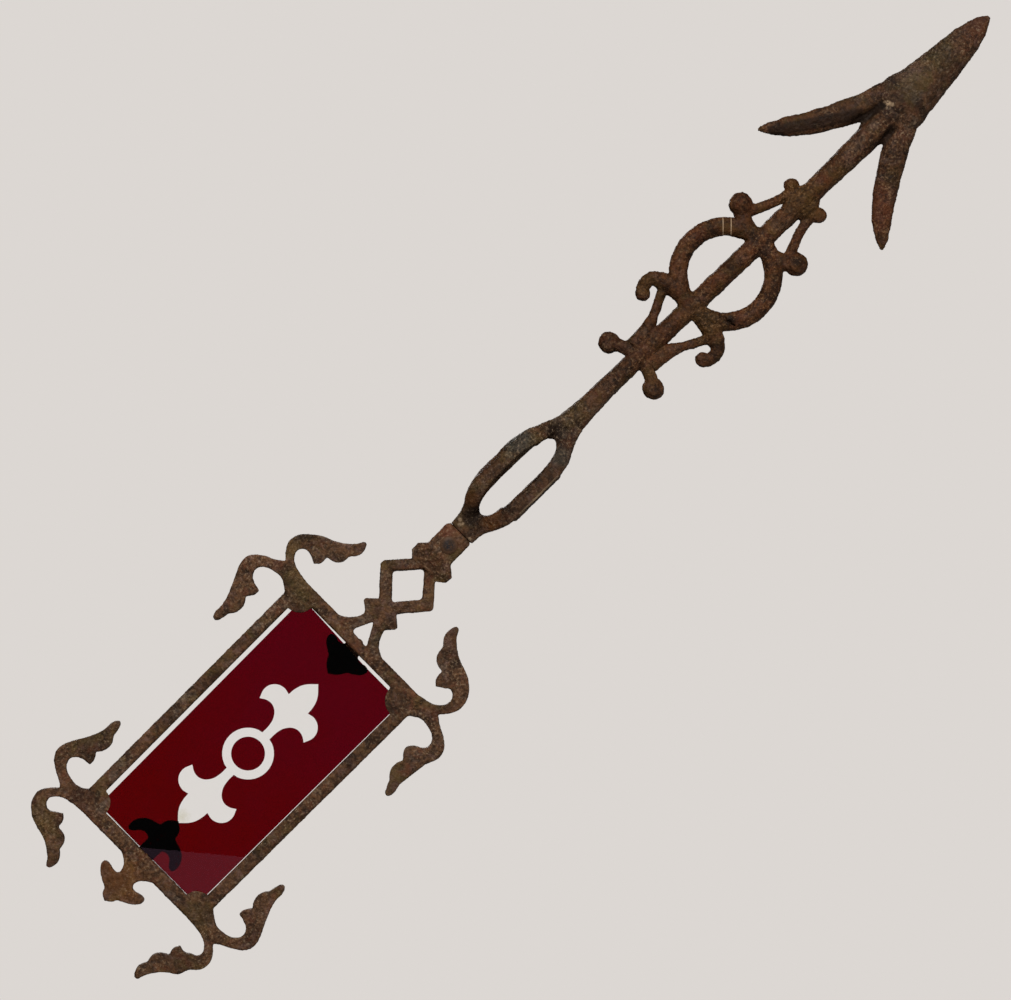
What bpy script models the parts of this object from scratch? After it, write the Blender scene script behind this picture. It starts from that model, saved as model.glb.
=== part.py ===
"""Directional arrow of a lightning-rod weathervane, with a loose pane of ruby glass in its tail frame.

Lengths are in millimetres until MM turns them into metres. X runs to the arrow's tip, Z runs up the
lightning rod, and Y runs from the front face to the back. The origin is on the rod's axis, in the eye.
"""

import math

import bmesh
import bpy
import numpy as np
from mathutils import Matrix, Vector

MM = 0.001
GAP = 0.3  # clearance between two pieces that touch

# Eye: two bored bosses, one above the other, that turn on the rod
ROD_BORE_R = 8.2
BOSS_R = 15.7
EYE_TOP = 15.0
EYE_BOTTOM = -13.9
PAD_THICK = 1.2  # flat turned pad under the lower boss

# Shaft, ring ornament and head, all cast with the eye. The shaft leaves the eye high and sags towards
# the tip, and the head is bent back up a little.
SHAFT_RISE = 1.75
SHAFT_SAG = math.radians(1.05)
HEAD_SAG = math.radians(0.5)
SHAFT_R = 4.6
SHAFT_FLAT = 0.92
RING_X = 139.4
RING_R = 22.8
RING_BAR_R = 4.35
ORNAMENT_FLAT = 0.8
HEAD_FLAT = 0.56
BARB_FLAT = 0.58

# Joint between the arrow casting and the tail casting
SHOULDER_X = -37.4
TENON_R = 4.4
TENON_END_X = -51.0
RIVET_X = -45.8
RIVET_Z = 0.2
RIVET_R = 2.2
RIVET_HEAD_R = 4.4
SOCKET_HALF_DEPTH = 6.9

# Tail frame
FRAME_THICK = 6.4
TAIL_Z = -2.7  # the tail hangs this far below the rod's centre
BAR_LOW_Z = -44.0
BAR_LOW_INNER_Z = -37.5
TOP_BAR_W = 6.4
END_BAR_W = 6.8
FRAME_TAIL_X = -259.9
FRAME_NECK_X = -106.7
INSIDE_TAIL_X = FRAME_TAIL_X + END_BAR_W + 0.6
INSIDE_NECK_X = FRAME_NECK_X - END_BAR_W
TOP_TAIL_Z = 38.3  # the top bar rises a little towards the neck
TOP_NECK_Z = 39.4
EAR_THICK = 1.8
EAR_INSET = 0.15  # the ears start this far behind the frame's face
LEAF_THICK = 5.2

# Pane: clear glass with a ruby layer on the back, cut through for the clear ornament
# The glass was cut a little out of square: it all but meets the tail bar at the bottom and the neck bar at
# the top. Three of its corners are nipped off, clear of the frame's fillets.
PANE_TAIL_X = -252.2
PANE_TAIL_TOP_X = -251.8
PANE_NECK_X = -115.2
PANE_NECK_TOP_X = -113.8
PANE_TAIL_BEND_Z = -6.0
PANE_NECK_BEND_Z = (-12.0, 23.0)
PANE_NIP = 1.5
PANE_LOW_Z = BAR_LOW_INNER_Z + GAP
PANE_TOP_TAIL_Z = 29.6  # the frame leaves about 2 mm above the pane
PANE_TOP_NECK_Z = 31.0
PANE_FRONT_Y = -FRAME_THICK / 2 + EAR_THICK + GAP
GLASS_THICK = 2.0
FLASH_THICK = 0.4
MOTIF_X = -184.2
MOTIF_Z = -3.1
MOTIF_RING_OUT = 12.4
MOTIF_RING_IN = 8.1

# Fleur-de-lis keepers behind the end bars, each held by one screw
KEEPER_THICK = 2.6
KEEPER_FRONT_Y = PANE_FRONT_Y + GLASS_THICK + GAP + FLASH_THICK + GAP
KEEPER_TAIL_REACH = 21.8
KEEPER_NECK_REACH = 16.8
FLEUR_LENGTH = 22.1
KEEPER_STEM_HALF_W = 4.5
POCKET_WALL = 1.2  # the end bar's wall beyond the keeper's stem
SCREW_R = 1.2
SCREW_HEAD_R = 2.6
SCREW_END_Y = -0.8

SMOOTH = "AUTO"
SIDE_VIEW = Matrix.Rotation(math.pi / 2, 4, "X")  # an outline's own Y becomes the part's Z
PLAN_VIEW = Matrix.Identity(4)
END_VIEW = Matrix.Rotation(math.pi / 2, 4, "Z") @ SIDE_VIEW  # an outline in Y and Z, extruded along X
SHAFT_LINE = Matrix.Translation((0, 0, SHAFT_RISE * MM)) @ Matrix.Rotation(SHAFT_SAG, 4, "Y")
HEAD_LINE = Matrix.Rotation(HEAD_SAG, 4, "Y")

# How far the scrolls stand off their even places, at stations along X: (x, forwards, outwards)
UPPER_DRIFT = (
    (76, 0.0, -1.2),
    (98, 0.0, -0.8),
    (106, 0.4, 0.0),
    (117, 0.2, 0.0),
    (165, 0.1, -0.4),
    (178, 0.0, 0.2),
    (191, 0.0, -0.8),
)
LOWER_DRIFT = (
    (76, 0.0, -0.3),
    (98, 0.0, 0.3),
    (106, -1.1, 1.2),
    (117, -0.6, 0.5),
    (165, -0.8, 0.2),
    (178, 0.0, 0.9),
    (191, -0.3, 0.9),
)

# Fleurs, as (distance out, distance from the centre line) up one side of each
FINIAL_HALF = (
    (8.3, 4.9, SMOOTH),
    (8.7, 7.6, SMOOTH),
    (8.0, 10.6, SMOOTH),
    (8.6, 13.3, SMOOTH),
    (10.6, 13.4, SMOOTH),
    (13.5, 11.3, SMOOTH),
    (16.0, 7.2, SMOOTH),
    (17.5, 4.4),
    (20.3, 2.8, SMOOTH),
    (FLEUR_LENGTH, 0.0),
)
TAIL_KEEPER_HALF = (
    (6.0, 4.5),
    (6.9, 7.0, SMOOTH),
    (5.8, 10.0, SMOOTH),
    (3.0, 12.4, SMOOTH),
    (2.6, 14.6, SMOOTH),
    (5.2, 15.6, SMOOTH),
    (9.6, 14.2, SMOOTH),
    (12.6, 10.8, SMOOTH),
    (13.8, 7.4, SMOOTH),
    (14.4, 5.0),
    (18.4, 3.9, SMOOTH),
    (KEEPER_TAIL_REACH, 0.0),
)
NECK_KEEPER_HALF = (
    (1.2, 4.5),
    (2.2, 7.2, SMOOTH),
    (1.4, 10.2, SMOOTH),
    (2.4, 12.6, SMOOTH),
    (5.4, 12.2, SMOOTH),
    (8.2, 9.2, SMOOTH),
    (10.0, 6.2),
    (13.4, 4.2, SMOOTH),
    (KEEPER_NECK_REACH, 0.0),
)


def clear_scene():
    for obj in list(bpy.data.objects):
        bpy.data.objects.remove(obj)


def new_collection(name, hidden=False):
    collection = bpy.data.collections.new(name)
    bpy.context.scene.collection.children.link(collection)
    collection.hide_render = hidden
    return collection


def new_material(name, colour, metallic, roughness, alpha=1.0):
    material = bpy.data.materials.new(name)
    material.use_nodes = True
    shader = material.node_tree.nodes["Principled BSDF"]
    shader.inputs["Base Color"].default_value = (*colour, 1.0)
    shader.inputs["Metallic"].default_value = metallic
    shader.inputs["Roughness"].default_value = roughness
    shader.inputs["Alpha"].default_value = alpha
    return material


def as_tool(obj):
    """Keeps a shape that only adds to, or cuts, a part."""
    tools.objects.link(obj)
    obj.hide_render = True
    obj.display_type = "WIRE"
    return obj


def closed_mesh(source, view):
    """A mesh object with the source's evaluated shape, turned by view, its seams welded. The source goes."""
    bpy.context.scene.collection.objects.link(source)
    bpy.context.view_layer.update()
    graph = bpy.context.evaluated_depsgraph_get()
    mesh = bpy.data.meshes.new_from_object(source.evaluated_get(graph))
    mesh.transform(view @ source.matrix_world)
    name = source.name
    bpy.data.objects.remove(source)
    shape = bmesh.new()
    shape.from_mesh(mesh)
    bmesh.ops.remove_doubles(shape, verts=shape.verts, dist=2e-5)
    bmesh.ops.recalc_face_normals(shape, faces=shape.faces)
    shape.to_mesh(mesh)
    shape.free()
    mesh.name = name
    return bpy.data.objects.new(name, mesh)


def add_spline(curve, knots, closed):
    """Each knot is (u, v), or (u, v, SMOOTH) where the outline runs through it without a corner."""
    spline = curve.splines.new("BEZIER")
    spline.bezier_points.add(len(knots) - 1)
    spline.use_cyclic_u = closed
    for point, (u, v, *smooth) in zip(spline.bezier_points, knots):
        handle = SMOOTH if smooth else "VECTOR"
        point.handle_left_type = handle
        point.handle_right_type = handle
        point.co = (u * MM, v * MM, 0)


def plate(name, outlines, thick, edge=0.0, y=0.0, view=SIDE_VIEW, steps=3):
    """Closed outlines filled and extruded to thick about y, with the edges eased by edge."""
    curve = bpy.data.curves.new(name, "CURVE")
    curve.dimensions = "2D"
    curve.fill_mode = "BOTH"
    curve.resolution_u = steps
    curve.extrude = thick / 2 * MM
    for knots in outlines:
        add_spline(curve, knots, True)
    obj = closed_mesh(bpy.data.objects.new(name, curve), Matrix.Translation((0, y * MM, 0)) @ view)
    if edge:
        easing = obj.modifiers.new("eased_edges", "BEVEL")
        easing.width = edge * MM
        easing.segments = 1
        easing.limit_method = "ANGLE"
        easing.angle_limit = math.radians(60)
        obj = closed_mesh(obj, Matrix.Identity(4))
    return as_tool(obj)


def circle(u, v, radius, sides=32):
    """A closed outline round (u, v)."""
    turns = [2 * math.pi * i / sides for i in range(sides)]
    return [(u + radius * math.cos(a), v + radius * math.sin(a)) for a in turns]


def bar(name, path, view, steps=2):
    """A round bar through the points (u, v, radius) of path, turned by view."""
    curve = bpy.data.curves.new(name, "CURVE")
    curve.dimensions = "3D"
    curve.resolution_u = steps
    curve.bevel_depth = MM
    curve.bevel_resolution = 4
    curve.use_fill_caps = True
    curve.twist_mode = "Z_UP"
    add_spline(curve, [(u, v, SMOOTH) for u, v, _ in path], False)
    for point, (_, _, radius) in zip(curve.splines[0].bezier_points, path):
        point.radius = radius
    return as_tool(closed_mesh(bpy.data.objects.new(name, curve), view))


def fore_bar(name, path, flat, line):
    """A bar of the arrow's fore part, flattened along Y and laid along line."""
    return bar(name, path, line @ Matrix.Diagonal((1, flat, 1, 1)) @ SIDE_VIEW)


def ball(name, x, z, radius, flat):
    """A flattened ball beside the shaft."""
    mesh = bpy.data.meshes.new(name)
    shape = bmesh.new()
    bmesh.ops.create_uvsphere(shape, u_segments=12, v_segments=7, radius=radius * MM)
    shape.to_mesh(mesh)
    shape.free()
    mesh.transform(SHAFT_LINE @ Matrix.Translation((x * MM, 0, z * MM)) @ Matrix.Diagonal((1, flat, 1, 1)))
    return as_tool(bpy.data.objects.new(name, mesh))


def cylinder(name, radius, start, end, view, centre=(0.0, 0.0), sides=32):
    """A cylinder along the outline's third axis, from start to end."""
    middle = Matrix.Translation((centre[0] * MM, centre[1] * MM, (start + end) / 2 * MM))
    return plate(name, [circle(0, 0, radius, sides)], end - start, view=view @ middle)


def turned(name, profile, x, z, sides=24):
    """A solid turned about an axis along Y, from the profile's (radius, y) points."""
    mesh = bpy.data.meshes.new(name)
    points = [(r * MM, 0, -y * MM) for r, y in profile]
    mesh.from_pydata(points, [(i, i + 1) for i in range(len(points) - 1)], [])
    obj = bpy.data.objects.new(name, mesh)
    spin = obj.modifiers.new("turn", "SCREW")
    spin.steps = sides
    spin.render_steps = sides
    spin.use_merge_vertices = True
    spin.merge_threshold = 1e-6
    return closed_mesh(obj, Matrix.Translation((x * MM, 0, z * MM)) @ SIDE_VIEW)


def combine(target, tool, operation, solver="EXACT"):
    modifier = target.modifiers.new(tool.name, "BOOLEAN")
    modifier.operation = operation
    modifier.solver = solver
    modifier.object = tool


def finish_part(obj, name, material):
    """Turns a shape into one of the object's visible parts."""
    for collection in list(obj.users_collection):
        collection.objects.unlink(obj)
    parts.objects.link(obj)
    obj.name = name
    obj.data.name = name
    obj.hide_render = False
    obj.display_type = "SOLID"
    obj.data.materials.clear()
    obj.data.materials.append(material)
    return obj


# ---- Arrow casting ----


def eye():
    """Two bosses with a slot between them, drawn in to the shaft in front and to the tenon behind."""
    outside = (
        (SHOULDER_X, -6.7),
        (-30.5, -7.3, SMOOTH),
        (-25, -10, SMOOTH),
        (-19, -12.4, SMOOTH),
        (-12, -13.2, SMOOTH),
        (0, -13.4, SMOOTH),
        (14, -13.2, SMOOTH),
        (22, -11.9, SMOOTH),
        (27, -9.4, SMOOTH),
        (32, -7.1, SMOOTH),
        (38, -5.6),
        (38, 6.2),
        (32, 7.8, SMOOTH),
        (26, 10.2, SMOOTH),
        (18, 13.3, SMOOTH),
        (9, 14.9, SMOOTH),
        (0, EYE_TOP, SMOOTH),
        (-9, 14.9, SMOOTH),
        (-17, 13.6, SMOOTH),
        (-22.5, 11.6, SMOOTH),
        (-27, 8.8, SMOOTH),
        (-31, 7.2, SMOOTH),
        (SHOULDER_X, 6.8),
    )
    slot = (
        (-24.8, 0, SMOOTH),
        (-23, 3.1, SMOOTH),
        (-19, 4.9, SMOOTH),
        (-12, 5.9, SMOOTH),
        (0, 6.0, SMOOTH),
        (17.2, 5.5),
        (17.5, 4.7),
        (21.7, 4.3, SMOOTH),
        (25.0, 2.2, SMOOTH),
        (25.8, 0, SMOOTH),
        (23.8, -2.9, SMOOTH),
        (20.4, -4.8, SMOOTH),
        (14, -6.0, SMOOTH),
        (0, -6.2, SMOOTH),
        (-14.6, -6.0),
        (-15.6, -4.9),
        (-21.5, -4.0, SMOOTH),
        (-24.1, -1.9, SMOOTH),
    )
    waist = (
        (SHOULDER_X, -6.3),
        (-31, -6.8, SMOOTH),
        (-22, -11.2, SMOOTH),
        (-12, -14.8, SMOOTH),
        (0, -BOSS_R, SMOOTH),
        (12, -14.8, SMOOTH),
        (22, -11.2, SMOOTH),
        (31, -6.6, SMOOTH),
        (38, -5.0),
    )
    plan = waist + tuple((x, -y, *smooth) for x, y, *smooth in reversed(waist))
    profile = (
        (-BOSS_R, EYE_BOTTOM),
        (BOSS_R, EYE_BOTTOM),
        (BOSS_R, 7.5),
        (13.6, 12.0, SMOOTH),
        (8.5, EYE_TOP),
        (-8.5, EYE_TOP),
        (-13.6, 12.0, SMOOTH),
        (-BOSS_R, 7.5),
    )
    body = plate("eye_body", [outside, slot], 4 * BOSS_R, steps=4)
    combine(body, plate("eye_plan", [plan], 4 * BOSS_R, view=PLAN_VIEW), "INTERSECT")
    combine(body, plate("eye_profile", [profile], 8 * BOSS_R, view=END_VIEW), "INTERSECT")
    for side in (1, -1):
        combine(body, slot_flare(side), "DIFFERENCE")
    pad = cylinder("eye_pad", BOSS_R - 0.6, EYE_BOTTOM, EYE_BOTTOM + PAD_THICK, PLAN_VIEW)
    combine(body, pad, "UNION")
    return body


def slot_flare(side):
    """The hollow that opens the slot out on one face and runs on into the shaft and the tenon."""
    path = (
        (-34.5, 9.0, 1.4),
        (-31, 9.0, 2.4),
        (-26, 11.7, 4.3),
        (-18, 15.2, 6.6),
        (-9, 17.2, 8.0),
        (0, 17.8, 8.3),
        (9, 17.2, 8.0),
        (19, 14.9, 6.3),
        (27, 11.5, 4.2),
        (32, 9.2, 2.6),
        (37, 8.0, 1.4),
    )
    return bar(f"slot_flare_{side}", [(x, side * y, radius) for x, y, radius in path], PLAN_VIEW)


def shaft():
    """The tapered rod from the eye into the head."""
    path = (
        (29, -0.6, 5.6),
        (36, -0.5, 6.3),
        (44, -0.4, 5.5),
        (58, -0.1, 4.8),
        (80, 0, SHAFT_R),
        (130, 0, SHAFT_R),
        (180, 0, 4.9),
        (205, 0, 5.2),
        (235, 0.3, 6.0),
        (252, 0.6, 7.5),
    )
    return fore_bar("shaft", path, SHAFT_FLAT, SHAFT_LINE)


def ring():
    """The ring that the shaft runs through."""
    sides = 12
    turns = [2 * math.pi * i / sides for i in range(sides)]
    knots = [(RING_X + RING_R * math.cos(a), RING_R * math.sin(a), SMOOTH) for a in turns]
    curve = bpy.data.curves.new("ring", "CURVE")
    curve.dimensions = "3D"
    curve.resolution_u = 3
    curve.bevel_depth = RING_BAR_R * MM
    curve.bevel_resolution = 4
    curve.twist_mode = "Z_UP"
    add_spline(curve, knots, True)
    view = SHAFT_LINE @ Matrix.Diagonal((1, ORNAMENT_FLAT, 1, 1)) @ SIDE_VIEW
    return as_tool(closed_mesh(bpy.data.objects.new("ring", curve), view))


def drifted(side, x, z):
    """A scroll's point moved to where it was cast. side is 1 above the shaft and -1 below."""
    stations, forwards, outwards = zip(*(UPPER_DRIFT if side > 0 else LOWER_DRIFT))
    share = min(abs(z) / 6, 1)  # points on the shaft's centre line stay
    return x + share * np.interp(x, stations, forwards), side * (z + share * np.interp(x, stations, outwards))


def scrolls(side):
    """The scrolls on one side of the shaft. side is 1 above it and -1 below."""
    paths = {
        "tail_post": ((117.6, 0, 4.5), (117.3, 8, 4.4), (116.2, 15, 4.4), (114.2, 20.5, 4.0)),
        "tail_hook": (
            (115.5, 17, 3.6),
            (113.3, 22.0, 3.4),
            (109.5, 23.6, 3.1),
            (105.8, 22.6, 3.0),
            (103.6, 20.7, 3.2),
        ),
        "tail_brace": (
            (84, 6.5, 4.2),
            (93, 7.4, 3.6),
            (101, 10.2, 2.2),
            (108, 13.2, 2.1),
            (115, 17, 2.6),
        ),
        "tail_neck": ((82.5, 2, 4.4), (80.6, 8, 3.0), (78, 14, 3.0)),
        "head_post": ((161.6, 0, 4.4), (161.8, 8, 4.0), (163.6, 14, 3.8), (166.8, 18.8, 4.0)),
        "head_brace": (
            (165.5, 15.6, 2.8),
            (171, 12.8, 2.5),
            (177.5, 9.6, 2.2),
            (184, 7.9, 2.3),
            (190, 7.2, 2.8),
        ),
        "head_collar": ((184.5, 2.0, 4.4), (189.5, 3.6, 4.4), (194.0, 1.6, 4.2)),
    }
    balls = {
        "tail_ball": (76.5, 16.0, 5.2),
        "hook_ball": (103.9, 20.9, 3.5),
        "head_ball": (167.6, 19.4, 5.7),
        "tip_ball": (191.3, 9.6, 3.6),
    }
    made = []
    for name, path in paths.items():
        knots = [(*drifted(side, x, z), radius) for x, z, radius in path]
        made.append(fore_bar(f"{name}_{side}", knots, ORNAMENT_FLAT, SHAFT_LINE))
    for name, (x, z, radius) in balls.items():
        made.append(ball(f"{name}_{side}", *drifted(side, x, z), radius, ORNAMENT_FLAT + 0.05))
    return made


def head():
    """The leaf-shaped point."""
    path = (
        (234, 0, 6.2),
        (243, 0, 9.4),
        (252, 0, 12.4),
        (260, 0, 12.5),
        (270, 0, 11.1),
        (285, 0.2, 9.3),
        (300, 0.6, 7.2),
        (308, 0.8, 4.9),
        (313.2, 0.8, 2.5),
        (315.5, 0.7, 0.8),
    )
    return fore_bar("head", path, HEAD_FLAT, HEAD_LINE)


def barbs():
    """The two barbs, swept back from the head. The lower one stands out further."""
    upper = (
        (264, 3.4, 7.0),
        (256, 5.6, 7.0),
        (247, 9.4, 6.6),
        (236, 15.0, 6.2),
        (220.7, 22.9, 5.6),
        (209.7, 30.4, 4.7),
        (202.8, 35.9, 2.8),
        (198.8, 39.2, 0.7),
    )
    lower = (
        (254.4, -4.4, 6.1),
        (245.8, -9.3, 6.6),
        (235.2, -15.8, 6.3),
        (220.8, -25.0, 5.7),
        (210.3, -33.6, 4.7),
        (204.3, -39.9, 2.8),
        (200.9, -43.2, 0.7),
    )
    return [
        fore_bar("upper_barb", upper, BARB_FLAT, HEAD_LINE),
        fore_bar("lower_barb", lower, BARB_FLAT, HEAD_LINE),
    ]


def arrow_casting(material):
    casting = eye()
    combine(casting, cylinder("tenon", TENON_R, TENON_END_X, SHOULDER_X + 2, END_VIEW), "UNION")
    combine(casting, shaft(), "UNION")
    combine(casting, head(), "UNION")
    for piece in [*barbs(), ring(), *scrolls(1), *scrolls(-1)]:
        combine(casting, piece, "UNION")
    bore = cylinder("rod_bore", ROD_BORE_R, EYE_BOTTOM - 5, EYE_TOP + 5, PLAN_VIEW, sides=40)
    combine(casting, bore, "DIFFERENCE")
    combine(casting, rivet_hole("tenon_hole"), "DIFFERENCE")
    return finish_part(casting, "arrow_casting", material)


def rivet_hole(name):
    return cylinder(name, RIVET_R + GAP, -12, 12, SIDE_VIEW, centre=(RIVET_X, RIVET_Z), sides=24)


def neck_rivet(material):
    """A round-headed rivet through the socket and the tenon."""
    face = SOCKET_HALF_DEPTH + GAP
    crown = ((0, 2.5), (2.2, 2.1), (3.6, 1.2), (RIVET_HEAD_R, 0))
    front = [(r, -face - rise) for r, rise in crown]
    back = [(r, face + rise) for r, rise in reversed(crown)]
    profile = [*front, (RIVET_R, -face), (RIVET_R, face), *back]
    return finish_part(turned("neck_rivet", profile, RIVET_X, RIVET_Z), "neck_rivet", material)


# ---- Tail casting ----


def socket():
    """The sleeve over the tenon, with a pair of square ears behind it."""
    x_open = SHOULDER_X - GAP
    outline = (
        (x_open, -6.7),
        (x_open, 7.0),
        (x_open - 2.0, 8.3),
        (-52.0, 8.0),
        (-55.6, 11.4),
        (-59.6, 11.2),
        (-62.6, 8.2),
        (-62.0, 0.2),
        (-62.6, -7.6),
        (-59.4, -11.6),
        (-55.8, -11.8),
        (-51.8, -6.9),
    )
    body = plate("socket", [outline], 2 * SOCKET_HALF_DEPTH, edge=1.2)
    hole = cylinder("socket_bore", TENON_R + GAP, TENON_END_X - GAP, 0, END_VIEW)
    return body, hole


def lattice():
    """The open diamond and the small ears between it and the frame."""
    diamond = ((-93.5, 0), (-75.2, 16.9), (-73, 17.0), (-54, 0.3), (-72.6, -16.2), (-74.2, -16.1))
    opening = ((-84.4, 0), (-73.8, 10.3), (-62.3, 0.2), (-73.2, -9.4))
    ears = (
        (-98.4, 5.2),
        (-96.2, 6.2),
        (-93, 10.2),
        (-91.9, 10.1),
        (-86.5, 4.6),
        (-86.2, -4.8),
        (-91.2, -10.6),
        (-92.4, -10.5),
        (-96, -7.2),
        (-98.4, -6.4),
    )
    return [
        plate("diamond", [diamond, opening], 6.8, edge=0.9),
        plate("lattice_ears", [ears], 7.4, edge=0.9),
    ]


def bracket():
    """The forked foot that spreads from the lattice on to the frame's end bar."""
    outline = (
        (-95.5, 5.2),
        (-99.5, 6.1, SMOOTH),
        (-102.9, 8.3, SMOOTH),
        (-105.4, 11.2, SMOOTH),
        (-108.6, 18.0),
        (-110.2, 18.0),
        (-110.2, -21.0),
        (-108.6, -21.0),
        (-105.8, -13.8, SMOOTH),
        (-103.6, -10.6, SMOOTH),
        (-100, -8.2, SMOOTH),
        (-95.5, -6.6),
    )
    opening = ((-108.3, -6.9), (-107.6, 3.2), (-105.3, 3.4), (-96.9, -0.4))
    foot = plate("bracket", [outline], 6.0, edge=0.8)
    return foot, plate("bracket_opening", [opening], 4 * FRAME_THICK)


def frame_bars():
    """The four bars of the frame, with a web across each inner corner in front of the pane."""
    outside = (
        (FRAME_TAIL_X, BAR_LOW_Z),
        (FRAME_NECK_X, BAR_LOW_Z),
        (FRAME_NECK_X, TOP_NECK_Z),
        (FRAME_TAIL_X, TOP_TAIL_Z),
    )
    inside = (
        (INSIDE_TAIL_X, BAR_LOW_INNER_Z),
        (INSIDE_NECK_X, BAR_LOW_INNER_Z),
        (INSIDE_NECK_X, TOP_NECK_Z - TOP_BAR_W),
        (INSIDE_TAIL_X, TOP_TAIL_Z - TOP_BAR_W),
    )
    made = [plate("frame_bars", [outside, inside], FRAME_THICK, edge=0.9)]
    ears = ((7.0, 1, 1), (9.0, -1, 1), (8.0, -1, -1), (7.6, 1, -1))
    for i, ((x, z), (radius, to_x, to_z)) in enumerate(zip(inside, ears)):
        made.append(glass_ear(f"glass_ear_{i}", x, z, radius, to_x, to_z))
    return made


def glass_ear(name, x, z, radius, to_x, to_z):
    """The rounded web in front of one corner of the pane. (x, z) is the frame's inner corner."""
    root = 3.2
    arc = [(radius * math.cos(a), radius * math.sin(a)) for a in (math.pi / 16 * i for i in range(9))]
    outline = [(-root, -root), (radius - 0.4, -root), *arc, (-root, radius - 0.4)]
    placed = [(x + to_x * u, z + to_z * v) for u, v in outline]
    front = -FRAME_THICK / 2 + EAR_INSET
    back = -FRAME_THICK / 2 + EAR_THICK
    return plate(name, [placed], back - front, edge=0.4, y=(front + back) / 2)


def blade_turned(knots, first, last, centre, degrees):
    """A leaf's outline with its blade, which is knots first to last, swung about centre."""
    swing = Matrix.Rotation(math.radians(degrees), 2)
    centre = Vector(centre)
    swung = []
    for i, (u, v, *smooth) in enumerate(knots):
        if first <= i <= last:
            u, v = centre + swing @ (Vector((u, v)) - centre)
        swung.append((u, v, *smooth))
    return swung


def along_leaf(swing):
    """The leaf that curls back along a long bar. Its origin is the frame's outer corner, u runs inwards
    along the bar and v runs outwards from it."""
    knots = (
        (4.0, -4.0),
        (12.0, -2.0),
        (9.2, 1.6, SMOOTH),
        (7.0, 5.6, SMOOTH),
        (7.2, 10.4, SMOOTH),
        (9.2, 15.4, SMOOTH),
        (12.8, 17.5, SMOOTH),
        (16.4, 16.0, SMOOTH),
        (18.2, 12.6, SMOOTH),
        (18.6, 9.0),
        (21.0, 8.9, SMOOTH),
        (25.2, 11.3),
        (27.8, 9.4, SMOOTH),
        (31.2, 8.6, SMOOTH),
        (34.4, 9.4, SMOOTH),
        (36.6, 11.0),
        (40.0, 11.6, SMOOTH),
        (43.6, 13.4, SMOOTH),
        (42.0, 15.6, SMOOTH),
        (35.6, 16.2, SMOOTH),
        (28.0, 18.8, SMOOTH),
        (20.6, 22.6, SMOOTH),
        (14.2, 24.9, SMOOTH),
        (9.4, 23.6, SMOOTH),
        (5.4, 19.0, SMOOTH),
        (2.8, 14.0, SMOOTH),
        (0.3, 10.4),
        (-1.0, 2.0),
    )
    return blade_turned(knots, 9, 20, (14.0, 21.0), swing)


def end_leaf(swing):
    """The leaf that hangs outwards past an end bar. Its origin is the frame's outer corner, u runs
    outwards past the end bar and v outwards from the long bar."""
    knots = (
        (-4.0, -6.0),
        (-0.3, -9.0),
        (0.5, 0.4, SMOOTH),
        (1.8, 5.8, SMOOTH),
        (4.0, 9.0, SMOOTH),
        (7.0, 10.5, SMOOTH),
        (9.6, 9.4, SMOOTH),
        (10.8, 6.8, SMOOTH),
        (9.9, 3.6, SMOOTH),
        (8.2, 0.4),
        (10.6, -1.8, SMOOTH),
        (14.6, -2.0),
        (15.4, -6.0, SMOOTH),
        (17.8, -8.8, SMOOTH),
        (22.2, -9.6),
        (25.6, -12.4, SMOOTH),
        (29.2, -12.6, SMOOTH),
        (32.0, -10.6, SMOOTH),
        (28.8, -8.0, SMOOTH),
        (25.2, -4.0, SMOOTH),
        (22.2, 1.2, SMOOTH),
        (20.4, 6.4, SMOOTH),
        (17.0, 11.6, SMOOTH),
        (13.2, 15.2, SMOOTH),
        (9.0, 16.4, SMOOTH),
        (5.0, 15.2, SMOOTH),
        (-0.3, 10.4),
        (-4.0, 4.0),
    )
    return blade_turned(knots, 8, 21, (10.0, 13.0), swing)


def leaves():
    """Two leaves at each corner of the frame, no two of them cast alike."""
    # Each leaf's shift outwards in Z, the swing of its blade in degrees and its stretch along X
    corners = {
        "top_tail": (FRAME_TAIL_X, TOP_TAIL_Z, -1, 1, (-0.7, -1, 0.99), (0.0, -5, 1.02)),
        "top_neck": (FRAME_NECK_X, TOP_NECK_Z, 1, 1, (0.2, 1, 1.0), (-0.5, 2, 1.02)),
        "low_tail": (FRAME_TAIL_X, BAR_LOW_Z, -1, -1, (1.7, 1, 1.0), (1.0, 17, 1.0)),
        "low_neck": (FRAME_NECK_X, BAR_LOW_Z, 1, -1, (-0.2, 12, 1.0), (-1.2, -4, 1.2)),
    }
    made = []
    for name, (x, z, outwards, up, along_set, end_set) in corners.items():
        lift, swing, stretch = along_set
        along = [(x - outwards * stretch * u, z + up * (v + lift), *s) for u, v, *s in along_leaf(swing)]
        lift, swing, stretch = end_set
        past = [(x + outwards * stretch * u, z + up * (v + lift), *s) for u, v, *s in end_leaf(swing)]
        made.append(plate(f"along_leaf_{name}", [along], LEAF_THICK, edge=1.0))
        made.append(plate(f"end_leaf_{name}", [past], LEAF_THICK + 0.3, edge=1.0))
    return made


def fleur(x, z, outwards, half):
    """A fleur's whole outline, pointing outwards along X from (x, z), from the knots up one side of it."""
    upper = [(x + outwards * u, z + v, *s) for u, v, *s in half]
    lower = [(x + outwards * u, z - v, *s) for u, v, *s in reversed(half[:-1])]
    return upper + lower


def finial():
    """The fleur that ends the tail, on a foot that spreads on to the end bar."""
    foot = ((-3.0, 10.5), (0.1, 10.0), (1.8, 7.2, SMOOTH), (4.4, 5.0, SMOOTH))
    return plate("finial", [fleur(FRAME_TAIL_X - 0.2, -4.6, -1, foot + FINIAL_HALF)], 5.8, edge=1.0)


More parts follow.
